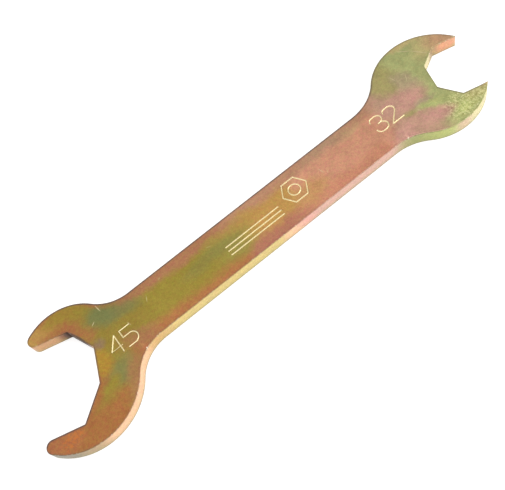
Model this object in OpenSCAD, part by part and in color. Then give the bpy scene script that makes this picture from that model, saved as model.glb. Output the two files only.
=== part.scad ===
// Double open-end spanner for 45 mm and 32 mm hexagons, cut in one piece from flat plate.
// The underside lies on z = 0. The origin is half way between the two jaw centres, on the
// handle's centre line, and +X points to the small jaw.
// Each head is drawn in a frame of its own: the jaw centre is at [0, 0], the handle leaves
// towards +X and the jaw opens towards -X. The near horn is at +Y and the far horn at -Y.

/* [Plate and handle] */
// Thickness of the plate
plate_t = 7; // [5:0.5:10]
// Width of the handle
handle_w = 27.3; // [25:0.1:30]
// Distance between the two jaw centres, along the handle
jaw_spacing = 227.5; // [210:0.5:260]
// Angle between a jaw's axis and the handle
jaw_angle = 15; // [12:0.5:18]

/* [Large jaw] */
// Width across the flats of the large jaw
large_gap = 45; // [44:0.1:46]
// Distance from the handle's centre line to the large jaw's centre
large_offset = 4.4; // [3:0.1:6]
// Depths of the four closed-end corners behind the jaw centre, near horn first
large_depths = [1.5, 11.4, 9.3, -2]; // [-4:0.1:14]
// Heights of the two inner corners across the jaw's axis
large_heights = [9.7, -7.7]; // [-12:0.1:12]
// Centre of the near horn's outer arc
large_near_centre = [3.7, 8.4]; // [2:0.1:10]
// Radius of the near horn's outer arc
large_near_r = 26.5; // [25.5:0.1:28]
// Centre of the far horn's outer arc
large_far_centre = [-2.8, -1.2]; // [-5:0.1:2]
// Radius of the far horn's outer arc
large_far_r = 32; // [31:0.1:34]
// Radius that blends the large head into the handle
large_neck_r = 22; // [16:0.5:26]
// Radius of the rounded horn tips
large_tip_r = 3.4; // [2:0.1:4]

/* [Small jaw] */
// Width across the flats of the small jaw
small_gap = 32; // [31:0.1:33]
// Distance from the handle's centre line to the small jaw's centre
small_offset = 1.8; // [1:0.1:4]
// Depths of the four closed-end corners behind the jaw centre, near horn first
small_depths = [0.3, 8.9, 8.4, -0.3]; // [-4:0.1:14]
// Heights of the two inner corners across the jaw's axis
small_heights = [6.6, -7.6]; // [-12:0.1:12]
// Centre of the near horn's outer arc
small_near_centre = [12.7, -1.9]; // [-4:0.1:14]
// Radius of the near horn's outer arc
small_near_r = 29.1; // [27.5:0.1:30]
// Centre of the far horn's outer arc
small_far_centre = [10, -0.3]; // [-2:0.1:12]
// Radius of the far horn's outer arc
small_far_r = 29.4; // [28.5:0.1:31]
// Radius that blends the small head into the handle
small_neck_r = 26.5; // [20:0.5:30]
// Distance from the jaw centre to the trimmed horn ends
small_reach = 13; // [10:0.1:14]

/* [Engraving] */
// Depth of the engraved lines
groove_depth = 0.3; // [0.1:0.1:1]
// Width of the engraved lines
groove_w = 0.7; // [0.4:0.1:1]
// Height of the size numbers
digit_h = 9.5; // [8:0.5:11]
// Lower left corners of the large size's two digits
large_digits_at = [[-94.7, -9.4], [-86.9, -9.4]]; // [-96:0.1:-9]
// Lower left corners of the small size's two digits
small_digits_at = [[66.6, -3.2], [74.5, -3.3]]; // [-4:0.1:80]
// Centre of the engraved nut outline
nut_at = [17.5, 1.8]; // [-20:0.1:20]
// Width across the flats of the engraved nut outline
nut_af = 12; // [8:0.5:16]
// Lower left end of the engraved bars
bars_at = [-25, -5]; // [-40:0.1:0]
// Length of the engraved bars
bars_len = 31; // [20:0.5:32]

/* [Hidden] */
$fn = 180;
reach = 60;        // longer than any head, for the cutting shapes
lap = 5;           // how far the two halves of a head run past the jaw's axis
hair = 0.005;      // overlap that keeps touching curves from leaving slivers
bar_pitch = 2.5;   // distance between the engraved bars
large_at = [-jaw_spacing / 2, -large_offset];
small_at = [jaw_spacing / 2, small_offset];

// A direction in the plane, as a unit vector
function along(angle) = [cos(angle), sin(angle)];

// Centre of the neck's blend, which touches the handle's edge and the horn's outer arc
function neck_centre(centre, r, neck_r, edge, side) =
    let (y = edge + side * neck_r)
    [centre[0] + sqrt(pow(r + neck_r, 2) - pow(y - centre[1], 2)), y];

// A point of a head's own frame, seen in the frame turned to the jaw's axis
function to_jaw(p) =
    [p[0] * cos(jaw_angle) - p[1] * sin(jaw_angle), p[0] * sin(jaw_angle) + p[1] * cos(jaw_angle)];

// Centre of a tip's rounding, which touches the jaw's flat and the horn's outer arc
function tip_centre(centre, r, tip_r, gap, side) =
    let (c = to_jaw(centre), v = side * (gap / 2 + tip_r))
    [c[0] - sqrt(pow(r - tip_r, 2) - pow(v - c[1], 2)), v];

// A flat shape at the plate's thickness
module slab() {
    linear_extrude(plate_t) children();
}

// A flat shape that cuts right through the plate
module cutter() {
    translate([0, 0, -1]) linear_extrude(plate_t + 2) children();
}

// One horn's share of the head: a disc, kept on its own side of the jaw's axis
module horn(centre, r, side) {
    intersection() {
        slab() translate(centre) circle(r);
        cutter() rotate(-jaw_angle)
            translate([-reach, side > 0 ? -lap : lap - reach]) square([2 * reach, reach]);
    }
}

// The hollow blend between the handle's edge and a horn's outer arc
module neck(centre, r, neck_r, edge, side) {
    f = neck_centre(centre, r, neck_r, edge, side);
    touch = centre + (f - centre) * r / (r + neck_r);
    difference() {
        slab() polygon([[f[0], edge], touch, centre, [f[0], centre[1]]]);
        cutter() translate(f) circle(neck_r + hair);
    }
}

// Solid head, with the necks that join it to a handle whose centre line is at y = offset
module head(near_centre, near_r, far_centre, far_r, neck_r, offset) {
    horn(near_centre, near_r, 1);
    horn(far_centre, far_r, -1);
    neck(near_centre, near_r, neck_r, offset + handle_w / 2, 1);
    neck(far_centre, far_r, neck_r, offset - handle_w / 2, -1);
}

// The gap for the nut: two parallel flats and a closed end with two inner corners
module jaw(gap, depths, heights) {
    cutter() rotate(-jaw_angle) polygon([
        [-reach, gap / 2], [depths[0], gap / 2], [depths[1], heights[0]],
        [depths[2], heights[1]], [depths[3], -gap / 2], [-reach, -gap / 2]
    ]);
}

// What rounding takes off a horn's tip
module tip_waste(centre, r, tip_r, gap, side) {
    c = to_jaw(centre);
    t = tip_centre(centre, r, tip_r, gap, side);
    flat_way = [0, -side];
    arc_way = (t - c) / norm(t - c);
    far = 4 * tip_r;
    rotate(-jaw_angle) difference() {
        cutter() polygon([
            t, t + far * flat_way, t + far * (flat_way - [1, 0]),
            t + far * (arc_way - [1, 0]), t + far * arc_way
        ]);
        cutter() translate(t) circle(tip_r + hair);
    }
}

// The large head, with its jaw cut and its horn tips rounded
module large_head() {
    difference() {
        head(large_near_centre, large_near_r, large_far_centre, large_far_r, large_neck_r, large_offset);
        jaw(large_gap, large_depths, large_heights);
        tip_waste(large_near_centre, large_near_r, large_tip_r, large_gap, 1);
        tip_waste(large_far_centre, large_far_r, large_tip_r, large_gap, -1);
    }
}

// The small head, with its jaw cut and its horn ends trimmed square
module small_head() {
    difference() {
        head(small_near_centre, small_near_r, small_far_centre, small_far_r, small_neck_r, small_offset);
        jaw(small_gap, small_depths, small_heights);
        cutter() rotate(-jaw_angle)
            translate([-small_reach - reach, -reach]) square([reach, 2 * reach]);
    }
}

// The whole plate, before engraving
module plate() {
    handle_from = large_at[0] + large_neck_r;
    handle_to = small_at[0] - small_neck_r;
    translate(large_at) large_head();
    translate(small_at) rotate(180) small_head();
    slab() translate([handle_from, -handle_w / 2]) square([handle_to - handle_from, handle_w]);
}

// A straight engraved line with round ends
module bar(from, to) {
    run = to - from;
    translate(from) rotate(atan2(run[1], run[0])) {
        translate([0, -groove_w / 2]) cube([norm(run), groove_w, plate_t]);
        cylinder(d = groove_w, h = plate_t);
        translate([norm(run), 0]) cylinder(d = groove_w, h = plate_t);
    }
}

// An engraved arc, counter-clockwise between two angles
module bend(centre, r, from, to) {
    translate(centre) rotate(from)
        rotate_extrude(angle = to - from)
            translate([r - groove_w / 2 + hair, 0]) square([groove_w - 2 * hair, plate_t]);
}

// The digit 4: a slope, a stem and a crossbar
module digit_4() {
    stem_x = 0.5 * digit_h;
    cross_y = 0.32 * digit_h;
    bar([0, cross_y], [stem_x, digit_h]);
    bar([stem_x, 0], [stem_x, digit_h]);
    bar([0, cross_y], [stem_x * 1.25, cross_y]);
}

// The digit 5: an angular top on a round bowl
module digit_5() {
    bowl_r = 0.3 * digit_h;
    bowl_x = 0.37 * digit_h;
    bar([0, digit_h], [0.57 * digit_h, digit_h]);
    bar([0, 2 * bowl_r], [0, digit_h]);
    bar([0, 2 * bowl_r], [bowl_x, 2 * bowl_r]);
    bend([bowl_x, bowl_r], bowl_r, -90, 90);
    bar([0, 0], [bowl_x, 0]);
}

// The digit 3: two bowls, one above the other
module digit_3() {
    low_r = 0.265 * digit_h;
    top_r = digit_h / 2 - low_r;
    top_y = digit_h - top_r;
    right_x = 0.42 * digit_h;
    bend([low_r, low_r], low_r, 180, 270);
    bar([low_r, 0], [right_x, 0]);
    bend([right_x, low_r], low_r, -90, 90);
    bar([right_x - 1, 2 * low_r], [right_x, 2 * low_r]);
    bend([right_x, top_y], top_r, -90, 90);
    bar([top_r, digit_h], [right_x, digit_h]);
    bend([top_r, top_y], top_r, 90, 170);
}

// The digit 2: a bowl, a slope and a base
module digit_2() {
    bowl_r = 0.24 * digit_h;
    bowl = [0.43 * digit_h, digit_h - bowl_r];
    bend([bowl_r, bowl[1]], bowl_r, 90, 165);
    bar([bowl_r, digit_h], [bowl[0], digit_h]);
    bend(bowl, bowl_r, -45, 90);
    bar([0, 0], bowl + bowl_r * along(-45));
    bar([0, 0], [0.71 * digit_h, 0]);
}

// A plain outline of a hexagon nut
module nut_mark() {
    corner_r = nut_af / sqrt(3);
    for (i = [0:5]) {
        bar(corner_r * along(60 * i), corner_r * along(60 * i + 60));
    }
    difference() {
        cylinder(r = nut_af / 4 + groove_w / 2, h = plate_t);
        cylinder(r = nut_af / 4 - groove_w / 2, h = plate_t);
    }
}

// Every engraved line, sunk into the top face
module engraving() {
    translate([0, 0, plate_t - groove_depth]) {
        translate(large_digits_at[0]) digit_4();
        translate(large_digits_at[1]) digit_5();
        translate(small_digits_at[0]) digit_3();
        translate(small_digits_at[1]) digit_2();
        translate(nut_at) nut_mark();
        for (i = [0:2]) {
            translate(bars_at + [0, i * bar_pitch]) bar([0, 0], [bars_len, 0]);
        }
    }
}

// The whole spanner, one solid piece of plate
module spanner() {
    color("darkgoldenrod") difference() {
        plate();
        engraving();
    }
}

spanner();
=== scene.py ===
"""A double open-end spanner for 45 mm and 32 mm hexagons, cut from plate and zinc plated in yellow.

Plan positions are complex numbers, x + y j, in millimetres in the CAD frame. Meshes are in metres.
"""

import cmath
import math
from types import SimpleNamespace

import bpy
import numpy as np
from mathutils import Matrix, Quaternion, Vector, noise
from mathutils.geometry import delaunay_2d_cdt


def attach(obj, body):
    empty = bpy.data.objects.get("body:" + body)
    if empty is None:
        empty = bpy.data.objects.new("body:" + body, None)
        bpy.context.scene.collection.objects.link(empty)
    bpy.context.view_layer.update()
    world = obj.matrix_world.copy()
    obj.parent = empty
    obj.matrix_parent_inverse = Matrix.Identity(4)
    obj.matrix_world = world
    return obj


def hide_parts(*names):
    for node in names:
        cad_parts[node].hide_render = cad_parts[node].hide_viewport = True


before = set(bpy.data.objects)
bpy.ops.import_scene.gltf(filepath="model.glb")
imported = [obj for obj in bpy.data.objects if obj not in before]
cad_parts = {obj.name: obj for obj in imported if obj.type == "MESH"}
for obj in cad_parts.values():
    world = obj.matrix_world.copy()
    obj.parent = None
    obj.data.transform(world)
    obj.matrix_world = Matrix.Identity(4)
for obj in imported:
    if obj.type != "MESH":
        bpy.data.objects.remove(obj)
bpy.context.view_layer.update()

MM = 0.001

# The plate, as in the CAD model
PLATE_T = 7.0
HANDLE_W = 27.3
JAW_SPACING = 227.5
JAW_ANGLE = 15.0

# Each head in a frame of its own: jaw centre at 0, handle towards +x, near horn at +y
LARGE = SimpleNamespace(
    at=-JAW_SPACING / 2 - 4.4j, turn=0, offset=4.4, gap=45.0,
    depths=(1.5, 11.4, 9.3, -2.0), heights=(9.7, -7.7),
    near_centre=3.7 + 8.4j, near_r=26.5, far_centre=-2.8 - 1.2j, far_r=32.0,
    neck_r=22.0, tip_r=3.4, reach=None,
)
SMALL = SimpleNamespace(
    at=JAW_SPACING / 2 + 1.8j, turn=180, offset=1.8, gap=32.0,
    depths=(0.3, 8.9, 8.4, -0.3), heights=(6.6, -7.6),
    near_centre=12.7 - 1.9j, near_r=29.1, far_centre=10.0 - 0.3j, far_r=29.4,
    neck_r=26.5, tip_r=None, reach=13.0,
)

# Engraving
GROOVE_DEPTH = 0.3
GROOVE_W = 0.7
LIP_H = 0.025          # height of the burr along an engraved line
LIP_W = 0.3
DIGIT_H = 9.5
NUT_AF = 12.0
BARS_LEN = 31.0
BAR_PITCH = 2.5

# The plate's edge
CORNER_WEAR = 0.2      # how far the outline's corners are worn round
TOP_ROUND = 0.4        # radius of the rolled top edge
BASE_ROUND = 0.28      # radius of the lower edge
BASE_FLAT = 0.35       # from the lower edge's round to the first points of the underside
RIM_W = 0.8            # painted dark strip beside the rolled edge: painted shade, strongest on edges that face away
BACK = 0.24 + 0.97j    # the direction in which the strip's painted shade is darkest
RIM_FRONT = 0.25       # its strength on the other side
SHEAR_WAVE = 0.021     # unevenness of the sheared wall
WALL_RINGS = [(0.6, 0.3), (2.4, 0.0), (4.4, 0.0), (6.1, 0.2)]    # heights, and how strongly the front edges' bright mark, wear and painted highlight, shows there
FACE_Z = PLATE_T - 0.03    # the plain top face, low enough to keep the burrs inside the thickness

# Mesh detail
OUTLINE_STEP = 0.3     # between points along the outline
ARC_STEP = 0.1         # between points on an arc, before they are spaced evenly
CORNER_SLOPE = 0.33    # how fast the edge's rings spread away from a sharp corner
SHORTEST_STEP = 0.3    # least share of its length that a step may keep on the innermost ring
MOST_ROUNDS = 200      # of drawing that ring back from the corners
GROOVE_STEP = 0.14     # mesh size where lines are engraved
FACE_STEP = 3.0        # mesh size on the plain faces


# ---------------------------------------------------------------- outline in plan

def turned(point, degrees):
    return point * cmath.rect(1, math.radians(degrees))


def bow(centre, start, end, turn):
    """Points on the arc from start to end: counter-clockwise where turn is 1, clockwise where it is -1."""
    first = cmath.phase(start - centre)
    swing = (cmath.phase(end - centre) - first) * turn % math.tau
    r = abs(start - centre)
    count = max(2, math.ceil(swing * r / ARC_STEP))
    return [centre + cmath.rect(r, first + turn * swing * i / count) for i in range(count + 1)]


def neck_centre(centre, r, neck_r, edge, side):
    """Centre of the blend that touches the handle's edge and a horn's outer arc."""
    y = edge + side * neck_r
    return complex(centre.real + math.sqrt((r + neck_r) ** 2 - (y - centre.imag) ** 2), y)


def tip(head, centre, r, side):
    """A horn's tip, from its outer arc to the jaw's flat."""
    c = turned(centre, JAW_ANGLE)
    flat_y = side * head.gap / 2
    if head.tip_r:
        v = flat_y + side * head.tip_r
        t = complex(c.real - math.sqrt((r - head.tip_r) ** 2 - (v - c.imag) ** 2), v)
        on_arc = t + head.tip_r * (t - c) / abs(t - c)
        points = bow(t, on_arc, t - 1j * side * head.tip_r, side)
    else:
        end_y = c.imag + side * math.sqrt(r ** 2 - (head.reach + c.real) ** 2)
        if side * (end_y - flat_y) > 0:
            points = [complex(-head.reach, end_y), complex(-head.reach, flat_y)]
        else:
            points = [complex(c.real - math.sqrt(r ** 2 - (flat_y - c.imag) ** 2), flat_y)]
    return [turned(p, -JAW_ANGLE) for p in points]


def head_outline(head):
    """A head's outline from the near side of the handle, round both horns, to the far side."""
    sides = []
    for centre, r, side in ((head.near_centre, head.near_r, 1), (head.far_centre, head.far_r, -1)):
        edge = head.offset + side * HANDLE_W / 2
        f = neck_centre(centre, r, head.neck_r, edge, side)
        touch = centre + (f - centre) * r / (r + head.neck_r)
        horn_tip = tip(head, centre, r, side)
        neck = bow(f, complex(f.real, edge), touch, -side)
        sides.append(neck + bow(centre, touch, horn_tip[0], side) + horn_tip)
    (d0, d1, d2, d3), (h0, h1) = head.depths, head.heights
    corners = [complex(d0, head.gap / 2), complex(d1, h0), complex(d2, h1), complex(d3, -head.gap / 2)]
    closed_end = [turned(p, -JAW_ANGLE) for p in corners]
    points = sides[0] + closed_end + sides[1][::-1]
    return [turned(p, head.turn) + head.at for p in points]


def even_outline():
    """The whole outline, counter-clockwise, evenly spaced, with its corners worn a little round."""
    rough = np.array(head_outline(LARGE) + head_outline(SMALL))
    closed = np.append(rough, rough[0])
    along = np.concatenate([[0], np.cumsum(np.abs(np.diff(closed)))])
    fineness = 3
    count = fineness * round(along[-1] / OUTLINE_STEP)
    at = np.arange(count) * along[-1] / count
    fine = np.interp(at, along, closed.real) + 1j * np.interp(at, along, closed.imag)
    waves = np.fft.fftfreq(count, OUTLINE_STEP / fineness)
    soften = np.exp(-2 * (np.pi * waves * CORNER_WEAR) ** 2)
    return np.fft.ifft(np.fft.fft(fine) * soften)[::fineness]


# ---------------------------------------------------------------- engraved lines

def line(start, end, depth=1.0):
    return SimpleNamespace(kind="line", start=start, end=end, depth=depth)


def bend(centre, r, first, last, depth=1.0):
    return SimpleNamespace(kind="bend", centre=centre, r=r, first=first, last=last, depth=depth)


def moved(strokes, by):
    """Copies of some engraved lines, shifted."""
    out = []
    for s in strokes:
        shifted = SimpleNamespace(**vars(s))
        if s.kind == "line":
            shifted.start, shifted.end = s.start + by, s.end + by
        else:
            shifted.centre = s.centre + by
        out.append(shifted)
    return out


def digit_4(h):
    stem, cross = 0.5 * h, 0.32j * h
    return [
        line(cross, stem + 1j * h),
        line(stem, stem + 1j * h),
        line(cross, 1.25 * stem + cross, depth=0.15),
    ]


def digit_5(h):
    r, x = 0.3 * h, 0.37 * h
    return [
        line(1j * h, 0.57 * h + 1j * h, depth=0.4),
        line(2j * r, 1j * h),
        line(2j * r, x + 2j * r, depth=0.7),
        bend(x + 1j * r, r, -90, 90, depth=0.8),
        line(0, x, depth=0.35),
    ]


def digit_3(h):
    low, x = 0.265 * h, 0.42 * h
    top = h / 2 - low
    top_y = h - top
    return [
        bend(low + 1j * low, low, 180, 270, depth=0.8),
        line(low, x, depth=0.8),
        bend(x + 1j * low, low, -90, 90),
        line(x - 1 + 2j * low, x + 2j * low, depth=0.8),
        bend(x + 1j * top_y, top, -90, 90),
        line(top + 1j * h, x + 1j * h, depth=0.8),
        bend(top + 1j * top_y, top, 90, 170, depth=0.9),
    ]


def digit_2(h):
    r = 0.24 * h
    bowl = 0.43 * h + 1j * (h - r)
    return [
        bend(r + 1j * bowl.imag, r, 90, 165, depth=0.9),
        line(r + 1j * h, bowl.real + 1j * h, depth=0.8),
        bend(bowl, r, -45, 90),
        line(0, bowl + turned(r, -45)),
        line(0, 0.71 * h),
    ]


def nut_mark(across_flats):
    corner = across_flats / math.sqrt(3)
    sides = [line(turned(corner, 60 * i), turned(corner, 60 * i + 60)) for i in range(6)]
    return sides + [bend(0, across_flats / 4, 0, 360)]


def bars(length):
    return [line(1j * i * BAR_PITCH, length + 1j * i * BAR_PITCH) for i in range(3)]


# Each digit is placed by its lower left corner, and the nut outline by its centre
ENGRAVINGS = [
    moved(digit_4(DIGIT_H), -94.7 - 9.4j) + moved(digit_5(DIGIT_H), -86.9 - 9.4j),
    moved(digit_3(DIGIT_H), 66.6 - 3.2j) + moved(digit_2(DIGIT_H), 74.5 - 3.3j),
    moved(nut_mark(NUT_AF), 17.5 + 1.8j),
    moved(bars(BARS_LEN), -25.0 - 5.0j),
]


def distance(points, stroke):
    """Distance from each point to the middle of an engraved line."""
    if stroke.kind == "line":
        run = stroke.end - stroke.start
        share = ((points - stroke.start) * np.conj(run)).real / abs(run) ** 2
        return np.abs(points - stroke.start - np.clip(share, 0, 1) * run)
    spoke = points - stroke.centre
    angle = np.degrees(np.angle(spoke)) - stroke.first
    inside = angle % 360 <= stroke.last - stroke.first
    ends = [stroke.centre + turned(stroke.r, a) for a in (stroke.first, stroke.last)]
    to_end = np.minimum(np.abs(points - ends[0]), np.abs(points - ends[1]))
    return np.where(inside, np.abs(np.abs(spoke) - stroke.r), to_end)


def smooth(low, high, value):
    """A smooth step from 0 to 1 as value passes from low to high."""
    t = np.clip((value - low) / (high - low), 0, 1)
    return t * t * (3 - 2 * t)


def groove(points, strokes):
    """How deep the engraving is at each point, from 0 to 1, and how high the burr beside it."""
    half = GROOVE_W / 2
    cut, lip = np.zeros(len(points)), np.zeros(len(points))
    for s in strokes:
        d = distance(points, s)
        cut = np.maximum(cut, s.depth * smooth(half * 1.05, half * 0.2, d))
        lip = np.maximum(lip, s.depth * smooth(half + LIP_W, half + 0.1, d))
    return cut, lip * (cut < 0.01)


# ---------------------------------------------------------------- the spanner's mesh

# Dents in the top edge: place, reach and depth
DENTS = [
    (-81.0 - 15.2j, 0.8, 0.18),
    (-96.9 - 32.0j, 0.7, 0.12),
    (73.9 - 14.2j, 0.8, 0.15),
    (129.6 + 14.6j, 0.8, 0.12),
]


class Surface:
    """Vertices with what the material needs to know about each, and faces."""

    def __init__(self):
        self.points, self.heights, self.faces = [], [], []
        self.marks = {"wall": [], "edge": [], "rim": [], "groove": []}
        self.edge_count = 0    # vertices round the plate's edge, which come first

    def add(self, points, heights, **marks):
        """Adds vertices, and gives the number of the first."""
        first = len(self.points)
        self.points += list(points)
        self.heights += list(np.broadcast_to(heights, len(points)))
        for name, values in self.marks.items():
            values += list(np.broadcast_to(marks.get(name, 0.0), len(points)))
        return first


def inward_normals(outline):
    along = np.roll(outline, -1) - np.roll(outline, 1)
    return 1j * along / np.abs(along)


def inset_share(outline, inward):
    """How much of the widest inset each point can take, so that no ring folds over at a sharp corner."""
    widest = TOP_ROUND + RIM_W
    share = np.ones(len(outline))
    run = np.roll(outline, -1) - outline
    rise = CORNER_SLOPE * OUTLINE_STEP / widest
    spread = math.ceil(1 / rise)
    for _ in range(MOST_ROUNDS):
        ring = outline + inward * widest * share
        kept = ((np.roll(ring, -1) - ring) * np.conj(run)).real / np.abs(run) ** 2
        folded = kept < SHORTEST_STEP
        if not folded.any():
            break
        # Draws the folded stretch back a little, then evens out the slope on both sides of it
        for k in range(-2, 4):
            share[np.roll(folded, k)] *= 0.96
        slopes = [np.roll(share, k) + abs(k) * rise for k in range(-spread, spread + 1)]
        share = np.minimum.reduce(slopes)
    return share


def section():
    """The plate's edge from the underside to the top: inset, height, and the wall, edge and rim marks."""
    rings = [(BASE_ROUND + BASE_FLAT, 0.0, 0.0, 0.0, 0.0)]
    for angle in (0, 30, 60, 90):
        s, c = math.sin(math.radians(angle)), math.cos(math.radians(angle))
        rings.append((BASE_ROUND * (1 - s), BASE_ROUND * (1 - c), angle / 90, 2 * s * c, 0.0))
    for height, edge in WALL_RINGS:
        rings.append((0.0, height, 1.0, edge, 0.0))
    for angle in (0, 22.5, 45, 67.5, 90):
        s, c = math.sin(math.radians(angle)), math.cos(math.radians(angle))
        inset, height = TOP_ROUND * (1 - c), FACE_Z - TOP_ROUND * (1 - s)
        rings.append((inset, height, 1 - angle / 90, max(0.3, 2 * s * c), 1.0))
    rings.append((TOP_ROUND + 0.35 * RIM_W, FACE_Z, 0.0, 0.0, 0.8))
    rings.append((TOP_ROUND + RIM_W, FACE_Z, 0.0, 0.0, 0.0))
    return rings


def inside(points, loop):
    """Whether each point lies inside a closed loop."""
    a, b = loop, np.roll(loop, -1)
    crossings = np.zeros(len(points), int)
    for p, q in zip(a, b):
        above = (p.imag > points.imag) != (q.imag > points.imag)
        rise = q.imag - p.imag if q.imag != p.imag else 1e-9
        x = p.real + (points.imag - p.imag) * (q.real - p.real) / rise
        crossings += above & (points.real < x)
    return crossings % 2 == 1


def clearance(points, loop):
    """Distance from each point to a loop, to the nearest of every fourth point of it."""
    return np.min(np.abs(points[:, None] - loop[None, ::4]), axis=1)


def face_points(loop, blocks):
    """Points spread over a face, clear of its edge and of the engraved blocks."""
    xs = np.arange(loop.real.min(), loop.real.max(), FACE_STEP)
    ys = np.arange(loop.imag.min(), loop.imag.max(), FACE_STEP * math.sqrt(0.75))
    rows = [xs + FACE_STEP / 2 * (i % 2) + 1j * y for i, y in enumerate(ys)]
    points = np.concatenate(rows)
    points = points[inside(points, loop)]
    points = points[clearance(points, loop) > FACE_STEP * 0.6]
    for block in blocks:
        low, high, margin = block.low, block.high, FACE_STEP * 0.4
        clear = (
            (points.real < low.real - margin) | (points.real > high.real + margin)
            | (points.imag < low.imag - margin) | (points.imag > high.imag + margin)
        )
        points = points[clear]
    return points


def engraved_block(strokes):
    """A fine grid that holds some engraved lines."""
    ends = []
    for s in strokes:
        if s.kind == "line":
            ends += [s.start, s.end]
        else:
            ends += [s.centre - s.r * (1 + 1j), s.centre + s.r * (1 + 1j)]
    ends = np.array(ends)
    margin = GROOVE_W + LIP_W
    low = complex(ends.real.min() - margin, ends.imag.min() - margin)
    columns = math.ceil((ends.real.max() + margin - low.real) / GROOVE_STEP)
    rows = math.ceil((ends.imag.max() + margin - low.imag) / GROOVE_STEP)
    grid = low + GROOVE_STEP * (np.arange(columns + 1)[None, :] + 1j * np.arange(rows + 1)[:, None])
    return SimpleNamespace(strokes=strokes, low=low, high=grid[-1, -1], grid=grid)


def holds(block, point):
    low, high = block.low, block.high
    return low.real < point.real < high.real and low.imag < point.imag < high.imag


def border(numbers):
    """The numbers round the edge of a grid, in order."""
    sides = [numbers[0, :-1], numbers[:-1, -1], numbers[-1, :0:-1], numbers[:0:-1, 0]]
    return [int(n) for side in sides for n in side]


def fill(surface, loops, loose, blocks, upward):
    """Triangles between closed loops of vertices, through some loose ones, leaving the blocks open."""
    used = [n for loop in loops for n in loop] + list(loose)
    place = {n: i for i, n in enumerate(used)}
    flat = [Vector((surface.points[n].real, surface.points[n].imag)) for n in used]
    edges = [(place[a], place[b]) for loop in loops for a, b in zip(loop, loop[1:] + loop[:1])]
    _, _, faces, origin, _, _ = delaunay_2d_cdt(flat, edges, [], 1, 1e-6)
    for face in faces:
        numbers = [used[origin[i][0]] for i in face]
        middle = sum(surface.points[n] for n in numbers) / 3
        if not any(holds(block, middle) for block in blocks):
            surface.faces.append(numbers if upward else numbers[::-1])


def wave(point, height, size, seed):
    return noise.noise(Vector((point.real / size, point.imag / size, height / size + seed)))


def unevenness(outline, height):
    """How far the sheared wall lies inside the outline: long waves with small ones on them."""
    uneven = [wave(p, height * 0.5, 2.2, 5) + wave(p, height, 0.7, 9) * 0.6 for p in outline]
    return SHEAR_WAVE * (1 + np.array(uneven))


def add_edge(surface):
    """The plate's edge all round, ring by ring. Gives the lowest ring and the highest as loops."""
    outline = even_outline()
    inward = inward_normals(outline)
    share = inset_share(outline, inward)
    # Painted shade along the rolled edge: full strength where the edge faces BACK, RIM_FRONT elsewhere
    backward = smooth(-0.2, 0.5, -(inward * np.conj(BACK)).real)
    painted_shade = RIM_FRONT + (1 - RIM_FRONT) * backward
    rings = []
    for inset, height, wall, edge, rim in section():
        level = outline + inward * inset * share
        if 0 < height < FACE_Z:
            level = level + inward * unevenness(outline, height)
        first = surface.add(level, height, wall=wall, edge=edge, rim=rim * painted_shade)
        rings.append(list(range(first, first + len(outline))))
    for low, high in zip(rings, rings[1:]):
        for i in range(len(outline)):
            surface.faces.append([low[i - 1], low[i], high[i], high[i - 1]])
    surface.edge_count = len(surface.points)
    return rings[0], rings[-1]


def add_engraving(surface, block):
    """A block's engraved grid. Gives its border as a loop."""
    points = block.grid.ravel()
    cut, lip = groove(points, block.strokes)
    heights = FACE_Z - GROOVE_DEPTH * cut + LIP_H * lip
    first = surface.add(points, heights, groove=cut)
    numbers = first + np.arange(points.size).reshape(block.grid.shape)
    for row, above in zip(numbers.tolist(), numbers[1:].tolist()):
        for k in range(len(row) - 1):
            surface.faces.append([row[k], row[k + 1], above[k + 1], above[k]])
    return border(numbers)


def add_face(surface, loop, holes, blocks, height, upward):
    """A plain face inside a loop, round the holes that the engraved blocks fill."""
    spread = face_points(np.array([surface.points[n] for n in loop]), blocks)
    first = surface.add(spread, height)
    fill(surface, [loop] + holes, range(first, first + len(spread)), blocks, upward)


def build_surface():
    surface = Surface()
    base_loop, top_loop = add_edge(surface)
    blocks = [engraved_block(strokes) for strokes in ENGRAVINGS]
    holes = [add_engraving(surface, block) for block in blocks]
    add_face(surface, top_loop, holes, blocks, FACE_Z, True)
    add_face(surface, base_loop, [], [], 0.0, False)
    return surface


def dent(surface):
    """Knocks the dents into the top edge, and marks them."""
    points, heights = np.array(surface.points), np.array(surface.heights)
    scar, on_edge = np.zeros(len(points)), np.arange(len(points)) < surface.edge_count
    for place, reach, depth in DENTS:
        away = np.abs(points - place) / reach
        down_wall = smooth(PLATE_T - 2.5, PLATE_T - 0.5, heights)
        near = on_edge * smooth(1, 0.1, away) * down_wall
        heights = heights - depth * near
        scar = np.maximum(scar, near)
    surface.heights, surface.marks["scar"] = heights, scar


def build_spanner():
    surface = build_surface()
    dent(surface)
    vertices = [(p.real * MM, p.imag * MM, z * MM) for p, z in zip(surface.points, surface.heights)]
    mesh = bpy.data.meshes.new("spanner_body")
    mesh.from_pydata(vertices, [], surface.faces)
    for name, values in surface.marks.items():
        attribute = mesh.attributes.new(name, "FLOAT", "POINT")
        attribute.data.foreach_set("value", np.array(values, np.float32))
    mesh.shade_smooth()
    mesh.validate()
    mesh.update()
    piece = bpy.data.objects.new("spanner_body", mesh)
    bpy.context.scene.collection.objects.link(piece)
    return piece


# ---------------------------------------------------------------- materials

def rgb(red, green, blue):
    """A colour from screen values in percent, as the linear colour that shaders use."""
    def linear(c):
        c /= 100
        return c / 12.92 if c <= 0.04045 else ((c + 0.055) / 1.055) ** 2.4
    return (linear(red), linear(green), linear(blue), 1.0)


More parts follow.
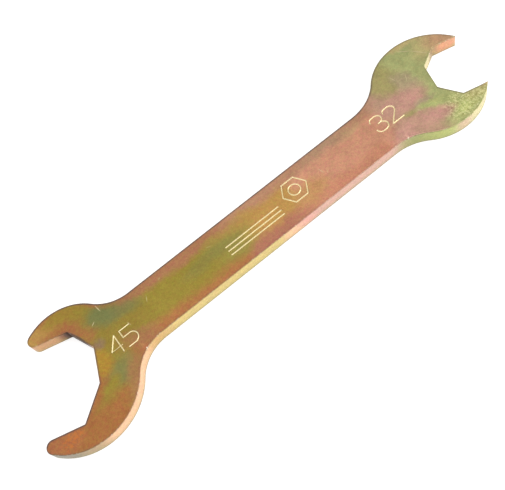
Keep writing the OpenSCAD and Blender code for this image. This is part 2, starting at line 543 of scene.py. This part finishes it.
# Tints that the plating takes as its film gets thicker and thinner
OLIVE = rgb(56, 49, 18)
DEEP_OLIVE = rgb(51, 45, 19)
KHAKI = rgb(57, 52, 24)
GREY_GREEN = rgb(45, 46, 26)
BRONZE = rgb(55, 47, 18)
AMBER = rgb(64, 50, 17)
HONEY = rgb(68, 53, 27)
TAN = rgb(73, 56, 30)
OLD_GOLD = rgb(60, 49, 19)
BRICK = rgb(64, 44, 30)
COPPER = rgb(64, 42, 24)
EMBER = rgb(60, 39, 20)
RUST = rgb(63, 40, 24)
ROSE_BROWN = rgb(60, 42, 27)
MAUVE = rgb(53, 43, 31)
ROSE = rgb(67, 44, 34)
CLAY = rgb(72, 53, 41)
PUTTY = rgb(72, 57, 45)
CORAL = rgb(79, 54, 42)
SALMON = rgb(81, 58, 46)
PINK = rgb(82, 62, 55)
DUSTY_PINK = rgb(77, 61, 51)
ASH_PINK = rgb(72, 64, 51)
SAGE = rgb(70, 71, 47)
LEAF = rgb(68, 64, 41)
LIME = rgb(72, 73, 47)
SAND = rgb(79, 71, 49)
FAWN = rgb(82, 65, 49)
FLAME = rgb(74, 43, 19)
SPARKLE = rgb(92, 89, 66)
MOSS = rgb(80, 82, 52)
# Sheared side faces, paler than the face: painted light that stands in for the light the walls catch
PEACH = rgb(93, 76, 60)
STRAW = rgb(84, 69, 44)
BUTTER = rgb(85, 76, 49)
PALE_LIME = rgb(71, 73, 45)
SHELL_PINK = rgb(90, 68, 62)
FADED_PINK = rgb(84, 68, 61)
OLIVE_PALE = rgb(64, 64, 41)
CREAM = rgb(88, 83, 64)
APRICOT = rgb(88, 64, 50)
BISCUIT = rgb(79, 61, 43)
WHEAT = rgb(70, 60, 44)
STONE = rgb(54, 51, 43)
UMBER = rgb(50, 32, 20)
# Painted shade for the inner corner of the large jaw
CORNER_SHADE_COLOUR = rgb(26, 15, 10)
BURR = rgb(42, 39, 27)
# Bare or nearly bare metal (also a painted highlight on the front edges), and the painted shade along
# rolled edges
BARE = rgb(90, 86, 76)
SCUFF = rgb(84, 78, 60)
LINE_CREAM = rgb(97, 91, 72)
RIM_SHADE = rgb(38, 32, 30)


FAR = 1000.0           # half height of an oval of tint, so that it covers the whole thickness
GRAIN_HEIGHT = 0.036   # of the finest bumps, which are too small to model


class Nodes:
    """Short calls for a material's nodes."""

    def __init__(self, name):
        self.material = bpy.data.materials.new(name)
        self.material.use_nodes = True
        self.tree = self.material.node_tree
        self.tree.nodes.clear()

    def add(self, kind, inputs=None, **settings):
        node = self.tree.nodes.new("ShaderNode" + kind)
        for key, value in settings.items():
            setattr(node, key, value)
        for key, value in (inputs or {}).items():
            if isinstance(value, bpy.types.NodeSocket):
                self.tree.links.new(value, node.inputs[key])
            else:
                node.inputs[key].default_value = value
        return node

    def maths(self, operation, a, b):
        return self.add("Math", {0: a, 1: b}, operation=operation).outputs[0]

    def times(self, a, b):
        return self.maths("MULTIPLY", a, b)

    def mix(self, a, b, factor):
        return self.add("Mix", {0: factor, 6: a, 7: b}, data_type="RGBA").outputs[2]

    def part(self, vector, axis):
        return self.add("SeparateXYZ", {0: vector}).outputs[axis]

    def noise(self, place, size, detail, rough):
        """Noise from 0 to 1, in bumps of the given size in mm."""
        inputs = {"Vector": place, "Scale": 1 / size, "Detail": detail, "Roughness": rough}
        return self.add("TexNoise", inputs).outputs[0]

    def swirl(self, place, size, detail):
        """Noise with a direction, from -0.5 to 0.5 each way."""
        inputs = {"Vector": place, "Scale": 1 / size, "Detail": detail}
        colour = self.add("TexNoise", inputs).outputs[1]
        return self.add("VectorMath", {0: colour, 1: (0.5, 0.5, 0.5)}, operation="SUBTRACT").outputs[0]

    def band(self, value, low, high, to_low=0.0, to_high=1.0):
        """A smooth step from to_low to to_high as value passes from low to high."""
        node = self.add("MapRange", {0: value, 1: low, 2: high, 3: to_low, 4: to_high})
        node.interpolation_type = "SMOOTHSTEP"
        return node.outputs[0]

    def mark(self, name):
        return self.add("Attribute", attribute_name=name).outputs["Fac"]

    def ramp(self, x, stops):
        """Colours along x: each stop is a place in mm and a colour."""
        low, high = stops[0][0], stops[-1][0]
        share = self.add("MapRange", {0: x, 1: low, 2: high}).outputs[0]
        node = self.add("ValToRGB", {0: share})
        node.color_ramp.interpolation = "EASE"
        steps = node.color_ramp.elements
        steps[0].color, steps[1].color = stops[0][1], stops[-1][1]
        for place, colour in stops[1:-1]:
            steps.new((place - low) / (high - low)).color = colour
        return node.outputs[0]

    def spots(self, colour, place, tints):
        """Soft oval spots of other tints, laid over a colour."""
        for tint, centre, size, angle, strength in tints:
            colour = self.mix(colour, tint, self.oval(place, centre, size, angle, strength, blur=0.75))
        return colour

    def oval(self, place, centre, size, angle, strength=1.0, blur=0.5):
        """A soft oval, 0 at its rim, that gets to its strength over a share of the way in."""
        inputs = {
            "Vector": place, "Location": (centre.real, centre.imag, 0),
            "Rotation": (0, 0, math.radians(angle)), "Scale": (size[0], size[1], FAR),
        }
        local = self.add("Mapping", inputs, vector_type="TEXTURE").outputs[0]
        depth = self.add("TexGradient", {0: local}, gradient_type="SPHERICAL").outputs["Fac"]
        return self.band(depth, 0.0, blur, 0.0, strength)


# How the film's tint runs along the plate, in three streaks: a place in mm and its colour
UPPER_STREAK = [
    (-140, TAN), (-118, TAN), (-104, OLD_GOLD), (-88, DEEP_OLIVE), (-78, ROSE_BROWN), (-62, BRICK),
    (-26, BRICK), (-12, CLAY), (20, CLAY), (44, PUTTY), (66, CLAY), (76, DUSTY_PINK), (90, LEAF),
    (100, SAGE), (130, SAGE),
]
MIDDLE_STREAK = [
    (-140, COPPER), (-112, HONEY), (-98, BRONZE), (-78, BRONZE), (-64, OLIVE), (-38, OLIVE),
    (-22, KHAKI), (-4, TAN), (12, TAN), (22, SALMON), (66, SALMON), (78, DUSTY_PINK), (90, DUSTY_PINK),
    (99, SAGE), (130, SAGE),
]
LOWER_STREAK = [
    (-140, RUST), (-104, EMBER), (-92, BRONZE), (-80, RUST), (-66, COPPER), (-24, COPPER), (-14, ROSE),
    (4, ROSE), (28, CORAL), (62, CORAL), (74, PINK), (84, DUSTY_PINK), (98, SAGE), (130, LIME),
]
# Across the plate, the middle streak gives way to its neighbours between these two distances
STREAK_INNER = 5.0
STREAK_OUTER = 11.0
# Noise that shifts the streaks' borders: size of its bumps, detail, and how far it shifts each way
WANDER = [(16, 3.0, (14, 9, 0)), (2.2, 2.0, (2.5, 2.5, 0))]
# Where the tint strays from its streak: colour, place, half sizes, turn and strength
TINTS = [
    # Near horn of the large head
    (TAN, -119 + 24j, (14, 10), 0, 0.8),
    (OLD_GOLD, -104 + 25j, (16, 7), -8, 0.9),
    (RUST, -110 + 19j, (14, 5), -14, 0.7),
    (RUST, -103 + 16j, (10, 6), -30, 0.9),
    (RUST, -99 + 9j, (6, 8), 0, 0.6),
    (OLIVE, -97 + 18j, (8, 9), 0, 0.6),
    (GREY_GREEN, -90 + 12.5j, (12, 8), -35, 1.0),
    (GREY_GREEN, -80 + 8j, (14, 5), -14, 0.7),
    (COPPER, -108 + 31j, (26, 4.5), 0, 0.9),
    (COPPER, -92 + 23.5j, (14, 5), -48, 0.9),
    (MAUVE, -98 + 1j, (6, 4), 15, 1.0),
    (AMBER, -100 - 7j, (6, 12), 12, 0.9),
    (GREY_GREEN, -96 - 17j, (13, 8), 32, 0.8),
    (OLIVE, -103 - 20j, (10, 5), 38, 1.0),
    (BRONZE, -107 - 24j, (14, 5), 15, 1.0),
    # Far horn of the large head
    (EMBER, -118 - 31j, (32, 9), 10, 0.95),
    (RUST, -132 - 27j, (14, 8), 20, 0.9),
    (ROSE_BROWN, -90 - 24j, (9, 17), -32, 0.9),
    (ROSE_BROWN, -79 - 9j, (16, 6), -20, 0.8),
    # Handle
    (OLIVE, -60 - 3j, (14, 5), 0, 0.6),
    (OLIVE, -45 - 8j, (40, 4), 0, 0.25),
    (GREY_GREEN, -34 + 1j, (22, 6), 0, 0.35),
    (HONEY, -14 + 7j, (24, 5), 0, 0.5),
    (TAN, 24 - 4j, (14, 9), 0, 0.6),
    (SAND, 58 + 8j, (8, 4), 0, 0.25),
    # Small head
    (PINK, 84 + 4j, (18, 9), 8, 0.6),
    (PINK, 90 + 1j, (10, 7), 0, 0.9),
    (PINK, 92 - 14j, (14, 6), -16, 1.0),
    (PINK, 98 - 15j, (8, 5), -10, 0.9),
    (ASH_PINK, 93 + 12j, (9, 10), 0, 0.8),
    (ASH_PINK, 92 - 4j, (9, 4), 0, 0.9),
    (LEAF, 82 + 19j, (10, 14), 25, 0.9),
    (SAND, 108 + 29j, (16, 4), -12, 0.9),
    (SAND, 114 + 20j, (9, 10), -35, 0.7),
    (FAWN, 124 + 19j, (13, 10), -35, 1.0),
    (FAWN, 121 - 16j, (6, 4), 0, 0.9),
    (LIME, 107 - 12j, (12, 9), 10, 0.9),
    (LIME, 95 - 7.5j, (14, 3.5), -12, 1.0),
    (MOSS, 107 - 20j, (16, 6), 12, 1.0),
    (SAND, 114 - 17j, (8, 6), 20, 0.5),
    (LEAF, 82 - 5j, (6, 3), 0, 0.8),
]
# The sheared sides: their tint along the plate, and where it strays. The stone and wheat at the large
# head's end are painted shade on walls that face away from the key light
SIDE_STREAK = [
    (-142, STONE), (-130, WHEAT), (-118, PEACH), (-84, PEACH), (-72, STRAW), (-60, BUTTER), (-6, BUTTER),
    (4, PEACH), (14, SHELL_PINK), (24, FADED_PINK), (64, FADED_PINK), (76, OLIVE_PALE), (90, PALE_LIME),
    (102, CREAM), (130, CREAM),
]
SIDE_TINTS = [
    # Painted shade: stone and wheat on the walls round the tip of the large head's far horn, which face
    # away from the key light
    (STONE, -135 - 31j, (16, 10), -35, 1.0),
    (WHEAT, -124 - 36j, (12, 6), 0, 0.8),
    # Painted shade: biscuit and umber darken the inner walls of the large jaw towards its corner
    (BISCUIT, -115 + 19j, (18, 6), -15, 1.0),
    (UMBER, -106 + 16.5j, (8, 8), 0, 1.0),
    (UMBER, -103 + 8j, (5, 12), 0, 0.8),
    (APRICOT, 124 + 15.5j, (13, 5), -15, 1.0),
    (WHEAT, 117 + 16.5j, (6, 4), 0, 0.9),
    (FADED_PINK, 99 - 25.5j, (6, 5), 0, 0.6),
    (CREAM, 112 - 26j, (8, 5), 30, 0.6),
]
# Thin scratches on the face: middle, half length and half width, turn and strength
SCRATCHES = [
    (-88.8 + 16.8j, (2.8, 0.32), -81, 0.6),
    (-94.5 + 11.6j, (1.6, 0.32), 31, 0.55),
    (-81.1 + 0.1j, (1.8, 0.3), -75, 0.35),
    (-68.2 + 4.6j, (2.2, 0.25), 66, 0.35),
    (-58 + 9j, (0.9, 0.4), 30, 0.25),
    (-31 + 6j, (1.8, 0.25), -20, 0.2),
    (33 + 1j, (2.6, 0.3), 100, 0.5),
    (35 - 1.5j, (1.2, 0.3), 60, 0.35),
    (88 - 6j, (2.0, 0.3), 110, 0.45),
    (91.6 + 16.5j, (2.4, 0.32), -81, 0.6),
    (96.8 + 12.6j, (3.0, 0.35), 60, 0.6),
    (97 + 15.5j, (1.4, 0.5), -20, 0.4),
    (106.7 + 25.7j, (4.6, 0.35), -43, 0.7),
    (111.8 + 19.7j, (6.2, 0.32), -55, 0.7),
]
# Single patches: middle, half sizes and turn
BLOTCHES = (-129.5 - 28j, (9, 5), 20)              # orange, on the far horn of the large head
SPECKS = (109 - 17j, (18, 11), 10)                 # bright and dark, on the near horn of the small head
CORNER_WALL_SHADE = (-103.9 + 12j, (9.5, 4.3), -66)      # painted shade on the walls at an inner corner of the large jaw
CORNER_EDGE_SHADE = (-103.9 + 11j, (7.5, 1.1), -67)      # painted shade on the face beside it, a dark line that stands in for the shaded wall


def wandering(n, place):
    """Places shifted by noise, large and small, so that the streaks' borders wander."""
    shifted = place
    for size, detail, reach in WANDER:
        inputs = {0: n.swirl(place, size, detail), 1: reach, 2: shifted}
        shifted = n.add("VectorMath", inputs, operation="MULTIPLY_ADD").outputs[0]
    return shifted


def film(n, wander):
    """The film's tint on the face: three streaks, and the spots that stray from them."""
    along, across = n.part(wander, 0), n.part(wander, 1)
    streak = n.ramp(along, MIDDLE_STREAK)
    streak = n.mix(streak, n.ramp(along, UPPER_STREAK), n.band(across, STREAK_INNER, STREAK_OUTER))
    streak = n.mix(streak, n.ramp(along, LOWER_STREAK), n.band(across, -STREAK_INNER, -STREAK_OUTER))
    return n.spots(streak, wander, TINTS)


def sheared_side(n, place, wander):
    """The sheared sides' tint, paler than the face as painted light, and darker towards the underside."""
    side = n.spots(n.ramp(n.part(wander, 0), SIDE_STREAK), place, SIDE_TINTS)
    height = n.part(place, 2)
    side = n.mix(side, OLIVE_PALE, n.band(height, 3.5, 0.3, 0.0, 0.35))
    return n.mix(side, BURR, n.band(height, 1.1, 0.1, 0.0, 0.6))


def mottled(n, colour, place, grain, cloud):
    """A colour made uneven in brightness and hue."""
    speckle = n.noise(place, 1.1, 2.0, 0.6)
    shade = n.maths("ADD", n.band(grain, 0.3, 0.7, -0.1, 0.1), n.band(cloud, 0.3, 0.7, -0.04, 0.04))
    shade = n.maths("ADD", shade, n.band(speckle, 0.3, 0.7, 0.93, 1.07))
    hue = n.band(n.noise(place, 1.7, 3.0, 0.7), 0.3, 0.7, 0.488, 0.512)
    return n.add("HueSaturation", {"Color": colour, "Hue": hue, "Value": shade}).outputs[0]


def blemished(n, colour, place):
    """Orange blotches, bright and dark specks, and scratches."""
    blotch = n.times(n.band(n.noise(place, 1.6, 3.0, 0.7), 0.45, 0.6), n.oval(place, *BLOTCHES))
    colour = n.mix(colour, FLAME, n.times(blotch, 0.7))
    speck, spread = n.noise(place, 1.1, 2.0, 0.8), n.oval(place, *SPECKS)
    colour = n.mix(colour, DEEP_OLIVE, n.times(n.band(speck, 0.46, 0.3, 0.0, 0.5), spread))
    colour = n.mix(colour, SPARKLE, n.times(n.band(speck, 0.5, 0.62, 0.0, 0.75), spread))
    for middle, size, angle, strength in SCRATCHES:
        colour = n.mix(colour, SCUFF, n.oval(place, middle, size, angle, strength, blur=0.6))
    return colour


def painted_shade(n, place, wander, corner_shade):
    """How dark the painted shade is: along the rolled edge where it faces away, weaker on the small head,
    and in one corner of the large jaw.
    """
    edge = n.times(n.mark("rim"), n.band(n.noise(place, 3.0, 2.0, 0.5), 0.3, 0.6, 0.65, 0.95))
    edge = n.times(edge, n.band(n.part(wander, 0), 60.0, 95.0, 1.0, 0.65))
    corner = n.maths("MAXIMUM", corner_shade, n.oval(place, *CORNER_EDGE_SHADE, strength=0.75, blur=0.45))
    return n.maths("MAXIMUM", edge, corner)


def worn_and_highlit(n, colour, place):
    """Bare metal in the dents, pale engraved lines, and bare metal on the front edges that is partly wear
    and partly a painted highlight: it shows only where the edge faces -y.
    """
    facing = n.part(n.add("NewGeometry").outputs["Normal"], 1)
    rubbed = n.band(n.noise(place, 1.6, 3.0, 0.7), 0.5, 0.66, 0.0, 0.5)
    # Painted highlight as well as wear: only edges that face -y get it
    front = n.times(n.mark("edge"), n.band(facing, 0.0, -0.5))
    colour = n.mix(colour, BARE, n.times(front, rubbed))
    colour = n.mix(colour, BARE, n.band(n.mark("scar"), 0.3, 0.9, 0.0, 0.7))
    return n.mix(colour, LINE_CREAM, n.band(n.mark("groove"), 0.03, 0.25, 0.0, 0.95))


def plated_steel():
    """Steel plate with a yellow zinc film: streaked and patchy tints, fine grain, and painted light: pale
    sheared sides, painted shade along the back edges and in one jaw corner, and a painted highlight on the
    front edges.
    """
    n = Nodes("plated_steel_worn")
    metres = n.add("TexCoord").outputs["Object"]
    place = n.add("Mapping", {"Vector": metres, "Scale": (1 / MM, 1 / MM, 1 / MM)}).outputs[0]
    wander = wandering(n, place)
    wall = n.mark("wall")
    grain, cloud = n.noise(place, 0.5, 3.0, 0.65), n.noise(place, 5.0, 3.0, 0.6)
    # Painted shade on the walls in the large jaw's inner corner
    corner_shade = n.times(n.oval(place, *CORNER_WALL_SHADE, strength=0.9), n.band(wall, 0.5, 0.9))
    rim = painted_shade(n, place, wander, corner_shade)

    colour = n.mix(film(n, wander), sheared_side(n, place, wander), n.band(wall, 0.25, 0.75))
    colour = mottled(n, colour, place, grain, cloud)
    colour = blemished(n, colour, place)
    # Painted shade: the dark line along the rolled edges
    colour = n.mix(colour, RIM_SHADE, rim)
    # Painted shade in the large jaw's inner corner
    colour = n.mix(colour, CORNER_SHADE_COLOUR, corner_shade)
    colour = worn_and_highlit(n, colour, place)

    bump = n.add("Bump", {"Strength": 0.25, "Distance": GRAIN_HEIGHT * MM, "Height": grain}).outputs[0]
    shader = n.add("BsdfPrincipled", {
        "Base Color": colour,
        # Matte where the painted shade lies, so that it stays dark
        "Metallic": n.band(rim, 0.2, 0.8, 0.7, 0.1),
        "Specular IOR Level": n.band(rim, 0.2, 0.8, 0.5, 0.05),
        "Roughness": n.band(cloud, 0.25, 0.75, 0.34, 0.5),
        "Normal": bump,
    })
    n.add("OutputMaterial", {0: shader.outputs[0]})
    return n.material


def studio_floor():
    """Plain pale paper that glows a little, as on a lit table."""
    n = Nodes("pale_floor")
    shader = n.add("BsdfPrincipled", {
        "Base Color": (0.6, 0.6, 0.6, 1), "Roughness": 0.95,
        "Emission Color": (1, 1, 1, 1), "Emission Strength": 0.66,
    })
    n.add("OutputMaterial", {0: shader.outputs[0]})
    return n.material


# ---------------------------------------------------------------- studio

# The studio is in metres
FLOOR_HALF = 3.0
FLOOR_Z = -0.00005     # just under the plate, so that the two faces don't coincide
ROOM_LIGHT = 0.5


def add_floor():
    mesh = bpy.data.meshes.new("floor")
    low, high = -FLOOR_HALF, FLOOR_HALF
    corners = [(low, low, FLOOR_Z), (high, low, FLOOR_Z), (high, high, FLOOR_Z), (low, high, FLOOR_Z)]
    mesh.from_pydata(corners, [], [(0, 1, 2, 3)])
    floor = bpy.data.objects.new("floor", mesh)
    bpy.context.scene.collection.objects.link(floor)
    mesh.materials.append(studio_floor())
    return floor


def soft_light(name, place, size, power):
    """A square light that faces the middle of the spanner."""
    light = bpy.data.lights.new(name, "AREA")
    light.shape = "SQUARE"
    light.size = size
    light.energy = power
    lamp = bpy.data.objects.new(name, light)
    bpy.context.scene.collection.objects.link(lamp)
    lamp.location = place
    lamp.rotation_mode = "QUATERNION"
    lamp.rotation_quaternion = (-Vector(place)).to_track_quat("-Z", "Y")


def set_world(brightness):
    world = bpy.data.worlds.new("soft_room")
    world.use_nodes = True
    background = world.node_tree.nodes["Background"]
    background.inputs["Color"].default_value = (1, 1, 1, 1)
    background.inputs["Strength"].default_value = brightness
    bpy.context.scene.world = world


def add_camera():
    """Looks down on the spanner from beside its large head, rolled so that it climbs to the right."""
    aim = Vector((-14.98, -7.62, PLATE_T)) * MM
    away = 344.94 * MM
    azimuth, elevation, roll = math.radians(-13.878), math.radians(60.844), math.radians(-26.12)
    level_out = math.cos(elevation)
    back = Vector((math.sin(azimuth) * level_out, -math.cos(azimuth) * level_out, math.sin(elevation)))
    lens = bpy.data.cameras.new("camera")
    lens.sensor_width = 36.0
    lens.lens = 53.465
    lens.clip_start = 0.01
    camera = bpy.data.objects.new("camera", lens)
    bpy.context.scene.collection.objects.link(camera)
    camera.location = aim + back * away
    camera.rotation_mode = "QUATERNION"
    level = (-back).to_track_quat("-Z", "Y")
    camera.rotation_quaternion = level @ Quaternion((0, 0, 1), roll)
    bpy.context.scene.camera = camera


# ---------------------------------------------------------------- the scene

spanner = build_spanner()
spanner.data.materials.append(plated_steel())
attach(spanner, "root")
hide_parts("spanner")

add_floor()
set_world(ROOM_LIGHT)
soft_light("key", place=(0.8, -0.6, 0.6), size=0.8, power=6)
soft_light("overhead", place=(-0.1, 0.1, 1.3), size=1.2, power=8)
add_camera()
bpy.context.scene.view_settings.view_transform = "Standard"
